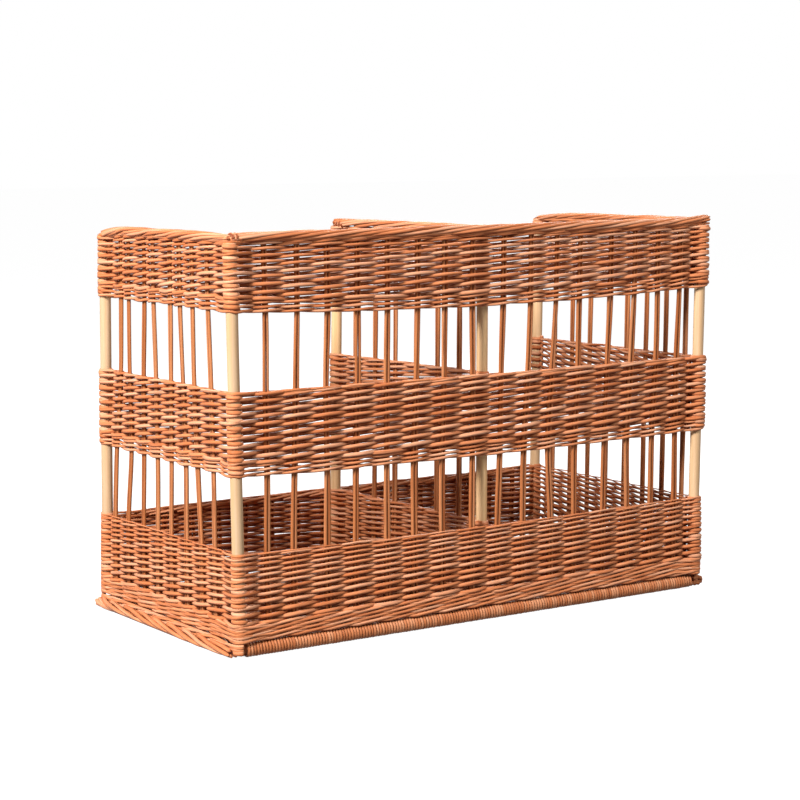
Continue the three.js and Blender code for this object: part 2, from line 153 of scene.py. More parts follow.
def rod_grain():
    """Node group: fine streaks along a rod, slow drift of its colour, and rare dark bud scars.

    GRAIN_NOISES gives each noise's scale and detail. A rod's tone times GRAIN_SHIFT is its place in the
    noise's fourth dimension, so that no two rods share a pattern.
    """
    tree = bpy.data.node_groups.new("rod grain", "ShaderNodeTree")
    for name in ("Streak", "Drift", "Scar"):
        tree.interface.new_socket(name, in_out="OUTPUT", socket_type="NodeSocketFloat")
    for name in ("Fine", "Long"):
        tree.interface.new_socket(name, in_out="INPUT", socket_type="NodeSocketFloat")
    given = tree.nodes.new("NodeGroupInput")
    ends = tree.nodes.new("NodeGroupOutput")
    apart = put(tree, "ShaderNodeSeparateXYZ", [("Vector", attribute(tree, "grain", "Vector"))])
    joined = put(tree, "ShaderNodeCombineXYZ", [
        ("X", calculate(tree, "MULTIPLY", apart.outputs["X"], given.outputs["Fine"])),
        ("Y", calculate(tree, "MULTIPLY", apart.outputs["Y"], given.outputs["Fine"])),
        ("Z", calculate(tree, "MULTIPLY", apart.outputs["Z"], given.outputs["Long"])),
    ])
    own = calculate(tree, "MULTIPLY", attribute(tree, "tone", "Fac"), GRAIN_SHIFT)
    noises = {}
    for name, scale, detail in GRAIN_NOISES:
        noise = put(tree, "ShaderNodeTexNoise", Scale=scale, Detail=detail, Roughness=0.6)
        noise.noise_dimensions = "4D"
        tree.links.new(joined.outputs[0], noise.inputs["Vector"])
        tree.links.new(own, noise.inputs["W"])
        noises[name] = noise.outputs["Fac"]
    scar = put(tree, "ShaderNodeMapRange", [("Value", noises["Scar"])],
               From_Min=SCAR_FROM, From_Max=SCAR_FULL)
    noises["Scar"] = scar.outputs[0]
    for name, socket in noises.items():
        tree.links.new(socket, ends.inputs[name])
    return tree


GRAIN = rod_grain()
TONE_LEAST, TONE_MOST = 0.05, 0.53
DRIFT_SHARE = 0.5
TONE_STOPS = (0.2, 0.55, 0.9)
STREAK_DARK, STREAK_CLEAR = 0.36, 0.64
STREAK_STAIN = 0.45
# Painted shade on a rod's lower side: full at the first height across the rod, gone at the second.
UNDERSIDE_SHADE_FULL, UNDERSIDE_SHADE_NONE = -2.1 * MM, 0.6 * MM
ROUGHNESS_SPREAD = 0.12
SATIN_SPECULAR = 0.08
GRAIN_RELIEF = 0.4 * MM


def wood(name, tones, dark, fine, long, roughness, bump, under=0.0, between=0.0):
    """Satin wood. A rod's tone and slow drift pick a colour from tones; streaks and scars darken it.

    Painted shade darkens a rod by the share under on its lower side, which on a mat weaver is the side
    towards its left neighbour, and by the share between deep in a wall or in the middle of a pair. fine and
    long are how close the grain is across a rod and along it.
    """
    material = bpy.data.materials.new(name)
    material.use_nodes = True
    tree = material.node_tree
    shader = tree.nodes["Principled BSDF"]
    grain = tree.nodes.new("ShaderNodeGroup")
    grain.node_tree = GRAIN
    grain.inputs["Fine"].default_value = fine
    grain.inputs["Long"].default_value = long
    own = attribute(tree, "tone", "Fac")
    spread = put(tree, "ShaderNodeMapRange", [("Value", own)], To_Min=TONE_LEAST, To_Max=TONE_MOST)
    drift = calculate(tree, "MULTIPLY", grain.outputs["Drift"], DRIFT_SHARE)
    share = calculate(tree, "ADD", spread.outputs[0], drift)
    ramp = put(tree, "ShaderNodeValToRGB", [("Fac", share)])
    shades = ramp.color_ramp.elements
    shades.new(TONE_STOPS[1])
    for shade, stop, tone in zip(shades, TONE_STOPS, tones):
        shade.position = stop
        shade.color = (*tone, 1)
    depth = put(tree, "ShaderNodeMapRange", [("Value", grain.outputs["Streak"])],
                From_Min=STREAK_DARK, From_Max=STREAK_CLEAR, To_Min=STREAK_STAIN, To_Max=0.0)
    marks_and_painted_shade = calculate(tree, "MAXIMUM", depth.outputs[0], grain.outputs["Scar"])
    # Painted shade: a rod is darker on its lower side, by the share under.
    round_rod = put(tree, "ShaderNodeSeparateXYZ", [("Vector", attribute(tree, "grain", "Vector"))])
    below = put(tree, "ShaderNodeMapRange", [("Value", round_rod.outputs["Y"])],
                From_Min=UNDERSIDE_SHADE_FULL, From_Max=UNDERSIDE_SHADE_NONE, To_Min=under, To_Max=0.0)
    marks_and_painted_shade = calculate(tree, "MAXIMUM", marks_and_painted_shade, below.outputs[0])
    # Painted shade deep in a wall and in the middle of a pair, by the share between.
    inside = calculate(tree, "MULTIPLY", attribute(tree, "deep", "Fac"), between)
    marks_and_painted_shade = calculate(tree, "MAXIMUM", marks_and_painted_shade, inside)
    # One dark colour for the grain's streaks and scars and for the painted shade.
    colour = tree.nodes.new("ShaderNodeMix")
    colour.data_type = "RGBA"
    factor, plain, mark_and_shade_colour = colour.inputs[0], colour.inputs[6], colour.inputs[7]
    tree.links.new(marks_and_painted_shade, factor)
    tree.links.new(ramp.outputs["Color"], plain)
    mark_and_shade_colour.default_value = (*dark, 1)
    tree.links.new(colour.outputs[2], shader.inputs["Base Color"])
    shine = put(tree, "ShaderNodeMapRange", [("Value", grain.outputs["Streak"])],
                To_Min=roughness - ROUGHNESS_SPREAD, To_Max=roughness + ROUGHNESS_SPREAD)
    tree.links.new(shine.outputs[0], shader.inputs["Roughness"])
    shader.inputs["Specular IOR Level"].default_value = SATIN_SPECULAR
    relief = put(tree, "ShaderNodeBump", [("Height", grain.outputs["Streak"])],
                 Strength=bump, Distance=GRAIN_RELIEF)
    tree.links.new(relief.outputs[0], shader.inputs["Normal"])
    return material


# under and between paint shade on the rods' lower sides and deep in the walls; on the mat, under paints shade
# on the side towards a weaver's left neighbour.
WILLOW = wood("buff willow",
              ((0.55, 0.165, 0.055), (0.74, 0.275, 0.115), (0.86, 0.465, 0.28)),
              (0.13, 0.014, 0.002), fine=1500, long=30, roughness=0.42, bump=0.35, under=0.9, between=0.9)
MAT_WILLOW = wood("mat willow",
                  ((0.45, 0.145, 0.048), (0.60, 0.228, 0.095), (0.73, 0.36, 0.19)),
                  (0.16, 0.022, 0.004), fine=1500, long=30, roughness=0.42, bump=0.35, under=0.45)

mat_low, mat_high = (np.array(corner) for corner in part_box("base_mat"))
front_low, front_high = (np.array(corner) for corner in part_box("front_rail"))
BASE = mat_high[2]
RAIL_Y = -(front_low[1] + front_high[1]) / 2
RAIL_RADIUS = BASE / 2
MAT_ROD = 2.0 * MM
MAT_STICK = RAIL_RADIUS - 2 * MAT_ROD
MAT_PITCH = 2.04 * MAT_ROD
MAT_PRESS = 1.12
STICKS = 9
STICK_POINTS = 24
RAIL_GAP = 22.5 * MM
STICK_EDGE = RAIL_Y - RAIL_GAP
RAIL_TURN = (-150, 130)
RAIL_POINTS = 14
WAVE_POINTS = 5 * STICKS


def mat_weavers():
    """Weavers across the mat. In side view each is an arc round the back rail, a wave over and under the
    sticks, whose phase swaps from one weaver to the next, and an arc round the front rail. They are pressed
    together, so that each is wider than high by MAT_PRESS."""
    count = int((mat_high[0] - mat_low[0]) / MAT_PITCH)
    x = np.linspace(mat_low[0] + MAT_ROD, mat_high[0] - MAT_ROD, count)
    ring = RAIL_RADIUS - MAT_ROD
    turn = np.radians(np.linspace(*RAIL_TURN, RAIL_POINTS))
    back = np.stack([RAIL_Y + ring * np.cos(turn), RAIL_RADIUS + ring * np.sin(turn)], axis=1)
    gap = 2 * STICK_EDGE / (STICKS - 1)
    edge = STICK_EDGE + 0.25 * gap
    y = np.linspace(edge, -edge, WAVE_POINTS)
    wave = (MAT_STICK + MAT_ROD) * np.cos((STICK_EDGE - y) / gap * np.pi)
    sides = np.where(np.arange(count) % 2, 1.0, -1.0)
    mat = np.stack([np.broadcast_to(y, (count, len(y))), RAIL_RADIUS + sides[:, None] * wave], axis=2)
    ends = np.broadcast_to(back, (count, *back.shape))
    section = np.concatenate([ends, mat, ends[:, ::-1] * (-1, 1)], axis=1)
    lie = x[:, None] + chance.normal(0, 0.12 * MM, (count, section.shape[1]))
    path = np.concatenate([lie[..., None], section], axis=2)
    thick = MAT_ROD * chance.uniform(0.9, 1.08, (count, 1)) * np.ones(section.shape[1])
    return sweep(path, thick, MAT_PRESS * thick, up=(1.0, 0.0, 0.0))


def mat_sticks(y, radius):
    """Straight sticks along the basket at the given distances from its middle, slightly uneven in width."""
    x = np.linspace(mat_low[0] + 1 * MM, mat_high[0] - 1 * MM, STICK_POINTS)
    path = np.stack(np.broadcast_arrays(x[None], np.asarray(y)[:, None], RAIL_RADIUS), axis=2)
    thick = radius * (1 + chance.normal(0, 0.02, path.shape[:2]))
    return sweep(path, thick, thick)


stick_y = np.linspace(-STICK_EDGE, STICK_EDGE, STICKS)
add_piece("mat_sticks", [mat_sticks(stick_y, MAT_STICK)], MAT_WILLOW, [])
add_piece("rail_cores", [mat_sticks((-RAIL_Y, RAIL_Y), MAT_STICK)], MAT_WILLOW, [])
add_piece("mat_weave", [mat_weavers()], MAT_WILLOW, ["base_mat", "front_rail", "back_rail"])

# Posts. Smooth round rods of pale peeled wood, one at each corner and one at each end of the divider.
# They are cut straight and stand on the base, and the weave is turned round them.
PEELED = wood("peeled wood",
              ((0.46, 0.32, 0.205), (0.67, 0.45, 0.27), (0.84, 0.54, 0.27)),
              (0.5, 0.27, 0.1), fine=260, long=9, roughness=0.5, bump=0.2)
POST_SIDES = 28
POST_POINTS = 30
POST_UNEVEN = 0.008


def axis_of(node):
    """The middle of an upright solid at each of the levels where it has points, from its foot to its top."""
    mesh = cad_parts[node].data
    place = np.empty(3 * len(mesh.vertices))
    mesh.vertices.foreach_get("co", place)
    place = place.reshape(-1, 3)
    height = np.round(place[:, 2] / MM, 1)
    rings = [place[height == level] for level in np.unique(height)]
    return np.array([(ring.min(axis=0) + ring.max(axis=0)) / 2 for ring in rings])


def along(axis, z):
    """Points of an upright's middle line at the heights z."""
    return np.stack([np.interp(z, axis[:, 2], axis[:, k]) for k in (0, 1)] + [z], axis=-1)


post_low, post_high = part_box("post_divider_front")
POST_RADIUS = (post_high[1] - post_low[1]) / 2
# Each post's tone is given: the front left post's is dark as painted shade against the key lamp on it, and the
# divider's front post's is light as painted light where the bands shade it.
for node, tone in (
    ("post_front_left", 0.05), ("post_front_right", 0.55), ("post_back_left", 0.15),
    ("post_back_right", 0.6), ("post_divider_front", 1.0), ("post_divider_back", 0.9),
):
    axis = axis_of(node)
    path = along(axis, np.linspace(axis[0, 2], axis[-1, 2], POST_POINTS))[None]
    thick = POST_RADIUS * (1 - POST_UNEVEN * np.abs(chance.normal(0, 1, (1, POST_POINTS))))
    add_piece(node + "_rod", [sweep(path, thick, thick, up=(1.0, 0.0, 0.0), sides=POST_SIDES)],
              PEELED, [node], tone)

# Stakes. Each is a pair of thin willow rods set side by side along the wall, butt ends down.
# They stand in the base, lean as hand-set rods do, and their tips go into the border.
STAKE_ROD = 2.0 * MM
STAKE_POINTS = 40
PAIR_HALF = 1.03 * STAKE_ROD
STAKE_WAVES = ((1.1, 0.45 * MM), (2.3, 0.3 * MM))
STAKE_BUTT = 1.16
STAKE_TAPER = 0.2


def stake_pairs(axes, sideways):
    """Two rods for each axis, half a pair's width to each side of it along the wall.

    Bends between levels are rounded off by a moving mean of five points. Each rod drifts by two slow sine
    waves up its height, with the turns and swings of STAKE_WAVES, so that the pair opens slightly here and
    there. It thins upwards from its butt. A point is deep in the pair's middle, where the material paints
    shade.
    """
    share = np.linspace(0, 1, STAKE_POINTS)
    line = np.stack([along(axis, axis[0, 2] + share * (axis[-1, 2] - axis[0, 2])) for axis in axes])
    smooth = line.copy()
    smooth[:, 2:-2] = (line[:, :-4] + line[:, 1:-3] + line[:, 2:-2] + line[:, 3:-1] + line[:, 4:]) / 5
    line = np.repeat(smooth, 2, axis=0)
    rods = len(line)
    phase = chance.uniform(0, 2 * np.pi, (rods, 2, 1))
    turns, swings = np.array(STAKE_WAVES).T
    waves = np.sin(2 * np.pi * share * turns[:, None] + phase)
    half = np.where(np.arange(rods) % 2, 1.0, -1.0)[:, None] * PAIR_HALF
    move = half + swings[0] * waves[:, 0] + swings[1] * waves[:, 1]
    path = line + move[..., None] * np.asarray(sideways)
    thick = STAKE_ROD * (STAKE_BUTT - STAKE_TAPER * share) * chance.uniform(0.92, 1.08, (rods, 1))
    return sweep(path, thick, thick, up=(sideways[1], -sideways[0], 0.0), out=move)


FRONT_STAKES = ["front_stake_%02d" % n for n in range(1, 17)]
LEFT_STAKES = ["left_stake_%d" % n for n in range(1, 9)]
RIGHT_STAKES = ["right_stake_%d" % n for n in range(8, 0, -1)]
DIVIDER_STAKES = ["divider_stake_%d" % n for n in range(1, 7)]
# Stake willow is darker than the weavers' willow, partly as painted shade on the stakes; between paints shade
# where a pair's two rods meet.
STAKE_WILLOW = wood("stake willow",
                    ((0.36, 0.108, 0.031), (0.48, 0.172, 0.062), (0.60, 0.27, 0.125)),
                    (0.12, 0.018, 0.004), fine=1400, long=22, roughness=0.45, bump=0.35, between=0.75)
for name, nodes, sideways in (
    ("front_stakes", FRONT_STAKES, (1, 0, 0)),
    ("left_stakes", LEFT_STAKES, (0, 1, 0)),
    ("right_stakes", RIGHT_STAKES, (0, 1, 0)),
    ("divider_stakes", DIVIDER_STAKES, (-0.05, 1, 0)),
):
    pairs = stake_pairs([axis_of(node) for node in nodes], sideways)
    add_piece(name + "_rods", [pairs], STAKE_WILLOW, nodes)

# Bottom band, woven all the way round, with the low back wall in it.
# Thick rods in long strokes bind its foot. Above them thinner rods go over one stake and under the next, and
# climb by nine rows on each of the four walls.
STEPS = 6
END_CLIMB = 1.0
LONG_CLIMB = 9 / 17
POST_CLIMB = 0.3
ROWS_ROUND = 36
BACK_GAP = 42 * MM
BACK_STAKES = 16
TIP_BEND = 4 * MM
ABOVE_ALL = 0.55
bottom_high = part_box("bottom_band")[1]
middle_low, middle_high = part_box("middle_band")
top_low, top_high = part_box("top_band")
LEVELS = np.array([
    0.0, BASE, bottom_high[2], middle_low[2], middle_high[2], top_low[2], top_high[2], ABOVE_ALL,
])


def wall_of(uprights):
    """Stations along a wall, in the order seen from left to right outside it.

    uprights holds (axis, half thickness, outward angles in degrees, flat). A stake has one angle. A post has
    two, and between these two stations the rods outside it turn round it; inside it they keep the mean angle.
    flat is the share of a rod's half thickness that is left where it is pressed against the upright. rows is
    how far a rod has climbed by then: a row at each upright of an end, half a row or so on a long wall.
    """
    wall = {"axis": [], "reach": [], "flat": [], "angle": [], "inner": [], "number": [], "rows": []}
    rows = 0.0
    for number, (axis, reach, angles, flat) in enumerate(uprights):
        climb = LONG_CLIMB if angles[0] % 180 else END_CLIMB
        rows += climb if number else 0.0
        for turn, angle in enumerate(angles):
            wall["axis"].append(along(axis, LEVELS)[:, :2])
            wall["reach"].append(reach)
            wall["flat"].append(flat)
            wall["angle"].append(np.radians(angle))
            wall["inner"].append(np.radians(np.mean(angles)))
            wall["number"].append(number)
            wall["rows"].append(rows + POST_CLIMB * climb * turn)
    return {key: np.array(value) for key, value in wall.items()}


TIGHT = 0.5
LOOSE = 0.95


def post(node, *angles):
    """A post for wall_of. The weave is pulled tight round it, but looser round the front right one."""
    return axis_of(node), POST_RADIUS, angles, LOOSE if node == "post_front_right" else TIGHT


def stakes(nodes, angle):
    """Stakes for wall_of, all facing one way."""
    return [(axis_of(node), STAKE_ROD, (angle,), 1.0) for node in nodes]


def short_stakes():
    """Axes of the low wall's stakes, from its left to its right as seen from outside."""
    levels = np.array([BASE, bottom_high[2] - TIP_BEND])
    right, left = (along(axis_of(node), levels) for node in ("post_back_right", "post_back_left"))
    gap = BACK_GAP / (right[0, 0] - left[0, 0])
    share = np.linspace(gap, 1 - gap, BACK_STAKES)[:, None, None]
    return right + share * (left - right)


def place(wall, u, out, z, angle=None):
    """A point at station u of a wall, this far outwards of its middle, at height z."""
    station = np.clip(u.astype(int), 0, len(wall["number"]) - 2)
    t = (u - station)[..., None]
    level = np.clip(np.searchsorted(LEVELS, z) - 1, 0, len(LEVELS) - 2)
    share = ((z - LEVELS[level]) / (LEVELS[level + 1] - LEVELS[level]))[..., None]
    axis = wall["axis"]
    below = axis[station, level] * (1 - t) + axis[station + 1, level] * t
    above = axis[station, level + 1] * (1 - t) + axis[station + 1, level + 1] * t
    if angle is None:
        angle = wall["angle"][station] * (1 - t[..., 0]) + wall["angle"][station + 1] * t[..., 0]
    outward = np.stack([np.cos(angle), np.sin(angle)], axis=-1)
    flat = below + (above - below) * share + out[..., None] * outward
    return np.concatenate([flat, z[..., None]], axis=-1)


TIP_SHARE = 0.4


def weave(wall, side, height, radius, first, last, lift=0.0, squeeze=0.15, tip=0.0, belly=0.0):
    """Rods passed in and out of a wall's uprights.

    For each rod and station, side is +1 outside and -1 inside, height its level and radius its half
    thickness. Between stations a rod changes sides by 3tt - 2ttt and its level runs straight, raised by
    lift times sin(pi t). Where it changes sides it is flatter by squeeze and further out by belly, as a stiff
    rod is. Over its last tip stations it thins to TIP_SHARE.
    """
    stations = len(wall["number"])
    points = int(np.ceil((last - first).max() * STEPS)) + 1
    u = first[:, None] + (last - first)[:, None] * np.linspace(0, 1, points)
    station = np.minimum(u.astype(int), stations - 2)
    t = u - station
    rod = np.arange(len(u))[:, None]

    def between(table, share):
        return table[rod, station] * (1 - share) + table[rod, station + 1] * share

    bow = np.sin(np.pi * t)
    ease = t * t * (3 - 2 * t)
    lift = np.broadcast_to(lift, side.shape)
    beside = side * (wall["reach"] + wall["flat"] * radius)
    out = between(beside + chance.normal(0, 0.2 * MM, side.shape), ease)
    swap = np.abs(side[rod, station] - side[rod, station + 1]) / 2
    out = out + belly * swap * bow * bow
    z = between(height, t) + lift[rod, station] * bow
    thick = between(radius, t)
    pressed = wall["flat"][station] * (1 - t) + wall["flat"][station + 1] * t
    if tip:
        thick = thick * np.clip(TIP_SHARE + (1 - TIP_SHARE) * (last[:, None] - u) / tip, TIP_SHARE, 1)
    angle = between(np.where(side > 0, wall["angle"], wall["inner"]), t)
    high = thick * (1 - squeeze * swap * bow * bow)
    return sweep(place(wall, u, out, z, angle), thick * pressed, high, out=out)


RING_POINTS = 22
RING_WIDTH = 1.2
RING_OUT = 0.8


def wraps(wall, side, height, radius, first, last):
    """A ring round a post for each rod that passes inside it, so that the post is covered.

    Rod and post give the ring's height; it runs once round from the inner side, rising by its own thickness.
    """
    station = np.arange(len(wall["number"]))
    at_post = wall["angle"] != wall["inner"]
    at_post[1:] &= wall["number"][1:] != wall["number"][:-1]
    rod, stop = np.nonzero(at_post & (side < 0) & (station >= first[:, None]) & (station <= last[:, None]))
    share = np.linspace(0, 1, RING_POINTS)
    half = RING_WIDTH * radius[rod, stop][:, None] + 0 * share
    angle = wall["inner"][stop][:, None] + np.pi - 2 * np.pi * share
    z = height[rod, stop][:, None] + half * (share - 0.5)
    pressed = wall["flat"][stop][:, None] * half
    out = wall["reach"][stop][:, None] + RING_OUT * pressed
    return sweep(place(wall, stop[:, None] + 0 * share, out, z, angle), pressed, half)


def sagged(wall, height, foot, head, foot_sag, head_sag):
    """Heights let down along the front wall, by a parabola that is zero at its corners."""
    on_front = np.isclose(wall["angle"] % (2 * np.pi), 1.5 * np.pi)
    bow = np.where(on_front, 1 - (wall["axis"][:, 0, 0] / bottom_high[0]) ** 2, 0.0)
    share = (height - foot) / (head - foot)
    return height - bow * (foot_sag + (head_sag - foot_sag) * share)


ROD_SHARE = 0.54
FRONT_RAISE = 0.7 * MM
LEFT_RAISE = 0.2 * MM
RANDING_TIP = 2.4
RANDING_BELLY = 0.8 * MM


def randing(wall, rounds, foot, head, low_share, foot_sag=0.0, head_sag=0.0, closed=0):
    """Rods that each go over one upright and under the next, a row apart, two rows to a round.

    Round w lies at foot + span (s w / n + (1 - s) w w / (n n)), so the rounds draw together upwards and the
    rods, ROD_SHARE of a round thick, thin with them. A rod lies slightly higher outside the front and
    the left end than inside them, slightly lower outside the back and the right end than inside these, and
    starts and ends inside an upright. closed is the number of rows that a rod climbs once round, or 0 for a
    wall with two ends.
    """
    rows = wall["rows"]
    start = np.arange(1 - closed, 1) if closed else np.arange(-int(rows[-1]), 2 * rounds)
    w = np.clip((rows + start[:, None]) / 2, 0, rounds)
    span, part = head - foot, w / rounds
    height = foot + span * (low_share * part + (1 - low_share) * part**2)
    pitch = span / rounds * (low_share + 2 * (1 - low_share) * part)
    side = np.where((wall["number"] + start[:, None]) % 2, -1.0, 1.0)
    higher = -(FRONT_RAISE * np.sin(wall["angle"]) + LEFT_RAISE * np.cos(wall["angle"]))
    height = sagged(wall, height, foot, head, foot_sag, head_sag) + higher * side
    height = height + chance.normal(0, 0.35 * MM, w.shape)
    index = np.arange(len(rows))
    rod = np.arange(len(start))
    first = np.floor(np.interp(-start, rows, index)).astype(int)
    first = np.maximum(first - (side[rod, first] > 0), 0)
    last = np.ceil(np.interp(2 * rounds - start + 1, rows, index)).astype(int)
    last = np.minimum(last + (side[rod, last] > 0), index[-1])
    radius = ROD_SHARE / 2 * pitch * chance.uniform(0.92, 1.08, (len(start), 1))
    return [weave(wall, side, height, radius, first, last, squeeze=0.0, tip=RANDING_TIP, belly=RANDING_BELLY),
            wraps(wall, side, height, radius, first, last)]


def level_rods(wall, rods):
    """First and last station of rods that run the whole wall."""
    return np.zeros(rods), np.full(rods, len(wall["number"]) - 1.0)


PAIRED_ROD = 1.9 * MM
PAIRED_RING = 1.3
TWIST = 0.6
RING_ABOVE = 2.4
RING_BELOW = -1.2


def pairing(wall, rows, sag=0.0, ring=RING_ABOVE):
    """Rows of two thin rods that twist round each other between the stakes, let down by sag on the front.

    Where a rod passes inside a post, a ring round the post lies higher by ring times a rod's half thickness.
    """
    rows = np.repeat(np.asarray(rows), 2)[:, None]
    second = np.arange(len(rows))[:, None] % 2
    side = np.where((wall["number"] + second) % 2, -1.0, 1.0)
    height = sagged(wall, rows + 0 * side, rows, rows + 1, sag, sag)
    height = height + chance.normal(0, 0.5 * MM, height.shape)
    thick = PAIRED_ROD * chance.uniform(0.9, 1.1, height.shape)
    ends = level_rods(wall, len(rows))
    return [weave(wall, side, height, thick, *ends, lift=TWIST * side * PAIRED_ROD),
            wraps(wall, side, height + ring * PAIRED_ROD, PAIRED_RING * thick, *ends)]


WALE_ROD = 2.2 * MM
WALE_STROKE = (-0.8, 0.9, 0.1)


def waling(wall, rows):
    """Rows of three thick rods, each outside two stakes and inside the third, rising along each stroke.

    WALE_STROKE is the rise at the three stakes of a stroke, in half thicknesses. Posts are passed outside.
    """
    rows = np.repeat(np.asarray(rows), 3)[:, None]
    phase = (wall["number"] + np.arange(len(rows))[:, None]) % 3
    side = np.where((phase == 2) & (wall["reach"] < 2 * STAKE_ROD), -1.0, 1.0)
    height = rows + np.choose(phase, WALE_STROKE) * WALE_ROD
    thick = WALE_ROD * chance.uniform(0.9, 1.08, height.shape)
    return weave(wall, side, height, thick, *level_rods(wall, len(rows)))


back_stakes = short_stakes()
ring_uprights = [
    post("post_back_left", 90, 180), *stakes(LEFT_STAKES, 180),
    post("post_front_left", 180, 270), *stakes(FRONT_STAKES, 270),
    post("post_front_right", 270, 360), *stakes(RIGHT_STAKES, 360),
    post("post_back_right", 360, 450), *[(axis, STAKE_ROD, (450,), 1.0) for axis in back_stakes],
]
once_round = len(ring_uprights)
twice_round = ring_uprights + [
    (axis, reach, [angle + 360 for angle in angles], flat) for axis, reach, angles, flat in ring_uprights
]
wale_rows = BASE + np.array([3.6, 8.7, 13.8, 18.8]) * MM
wale_top = BASE + 21 * MM
one_ring = wall_of(ring_uprights + twice_round[once_round:once_round + 1])
tubes = [waling(one_ring, wale_rows)]
low_rows = np.array([8.2, 13.4]) * MM
left_end = [post("post_back_left", 90, 180), *stakes(LEFT_STAKES, 180), post("post_front_left", 180, 270)]
right_end = [post("post_front_right", 360), *stakes(RIGHT_STAKES, 360), post("post_back_right", 360, 450)]
tubes += [waling(wall_of(end), low_rows) for end in (left_end, right_end)]
add_piece("foot_wale", tubes, WILLOW, [])
tubes = randing(wall_of(twice_round), rounds=11, foot=wale_top, head=bottom_high[2] - 1 * MM, low_share=1.3,
                head_sag=4 * MM, closed=ROWS_ROUND)
add_piece("bottom_weave", tubes, WILLOW, ["bottom_band", "back_band"])
add_piece("back_stakes_rods", [stake_pairs(back_stakes, (1, 0, 0))], STAKE_WILLOW, [])

# Middle and top bands, woven round the left end, the front and the right end.
# Rows of twisted thin rods start each band and another closes it. Its rods turn back round the back posts.
three_walls = wall_of([
    post("post_back_left", 0, 180), *stakes(LEFT_STAKES, 180),
    post("post_front_left", 180, 270), *stakes(FRONT_STAKES, 270),
    post("post_front_right", 270, 360), *stakes(RIGHT_STAKES, 360),
    post("post_back_right", 360, 540),
])
PAIRED_ROWS = np.array([1.8, 7.2, 12.6]) * MM


def band(wall, low, high, rounds, low_share, foot_sag=0.0, head_sag=0.0):
    """Twisted rows at the foot of a band and one at its top, with rods over one and under one between."""
    rows = low + PAIRED_ROWS
    tubes = pairing(wall, rows, foot_sag)
    tubes += pairing(wall, [high - 1 * MM], head_sag, RING_BELOW)
    return tubes + randing(wall, rounds, rows[-1] + 3 * MM, high, low_share, foot_sag, head_sag)


for name, node, low, high, rounds, low_share, foot_sag, head_sag in (
    ("middle_weave", "middle_band", middle_low, middle_high, 9, 1.1, 4 * MM, 2 * MM),
    ("top_weave", "top_band", top_low, top_high, 8, 1.22, 9 * MM, 0.0),
):
    tubes = band(three_walls, low[2], high[2], rounds, low_share, foot_sag, head_sag)
    add_piece(name, tubes, WILLOW, [node])

# Divider. It is woven like the walls, on its own stakes between two posts.
# Its rods turn round the back post and end against the front wall beside the front post.
divider = wall_of([
    post("post_divider_back", 0, 180), *stakes(DIVIDER_STAKES, 180), post("post_divider_front", 180, 240),
])
for name, node, rounds in (
    ("divider_bottom_weave", "divider_bottom_band", 12),
    ("divider_middle_weave", "divider_middle_band", 10),
    ("divider_top_weave", "divider_top_band", 8),
):
    low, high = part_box(node)
    add_piece(name, band(divider, low[2], high[2], rounds, low_share=1.16), WILLOW, [node])

# Borders. The tips of the stakes are bent to the right outside the wall, laid over it and tucked inside.
# Each tip runs past four or five stakes, so that together they make a long slanting rope.
BORDER_ROD = 2.2 * MM
BORDER_TURN = (-75, 205)
FILLERS = (0.15, 0.3, 0.45, 0.6, 0.75)
ROPE_POINTS = 40
CORE_POINTS = 80
ROLL_POINTS = 24
END_STATIONS = 2
START_STATIONS = 1.6
STRAND_BUTT = 1.1
STRAND_TAPER = 0.3
STRAND_WAIST = 0.7
CORE_WAIST = 0.4
ROUNDED_TIP = 0.04
TIP_LEFT = 0.15


def ending(u, last):
    """The square of the way gone over a border's last END_STATIONS, and 0 before them."""
    return np.clip((u - last + END_STATIONS) / END_STATIONS, 0, 1) ** 2


def opening(u):
    """The square of the way still to go over a border's first START_STATIONS, and 0 after them."""
    return np.clip(1 - u / START_STATIONS, 0, 1) ** 2


def plait(wall, middle, half_out, half_up, reach, turn, radius, dip=0.0, rise=0.0, waist=0.4):
    """Strands laid round an oval core along a wall, one from every station but the last.

    A strand that starts at station k and has gone the share s of its way is at station k + reach s, out by
    half_out cos(a) and up by half_up sin(a), where a goes from the first to the second angle of turn. At its
    end the rope narrows by the share waist and comes up by rise; at its start it lies lower by dip. Fillers
    start part of the way round, to fill out the first stakes. Every tip is rounded.
    """
    last = len(wall["number"]) - 1.0
    start = np.concatenate([np.arange(last), np.zeros(len(FILLERS))])
    begun = np.concatenate([np.zeros(int(last)), FILLERS])
    gone = np.minimum(1 - begun, (last - start) / reach)[:, None] * np.linspace(0, 1, ROPE_POINTS)
    share = begun[:, None] + gone
    u = start[:, None] + reach * gone
    angle = np.radians(turn[0] + (turn[1] - turn[0]) * share)
    narrow = 1 - waist * ending(u, last)
    tip = np.sqrt(np.clip(np.linspace(1, 0, ROPE_POINTS) / ROUNDED_TIP, TIP_LEFT, 1))
    out = narrow * half_out * np.cos(angle) + chance.normal(0, 0.5 * MM, (len(u), 1))
    z = middle + narrow * half_up * np.sin(angle) + rise * ending(u, last) - dip * opening(u)
    z = z + chance.normal(0, 0.25 * MM, (len(u), 1))
    thick = radius * (STRAND_BUTT - STRAND_TAPER * share) * chance.uniform(0.92, 1.08, (len(u), 1))
    thick = thick * (1 - STRAND_WAIST * waist * ending(u, last))
    return sweep(place(wall, u, out, z), thick * tip, thick * tip, up=(0.02, 0.01, 1.0))


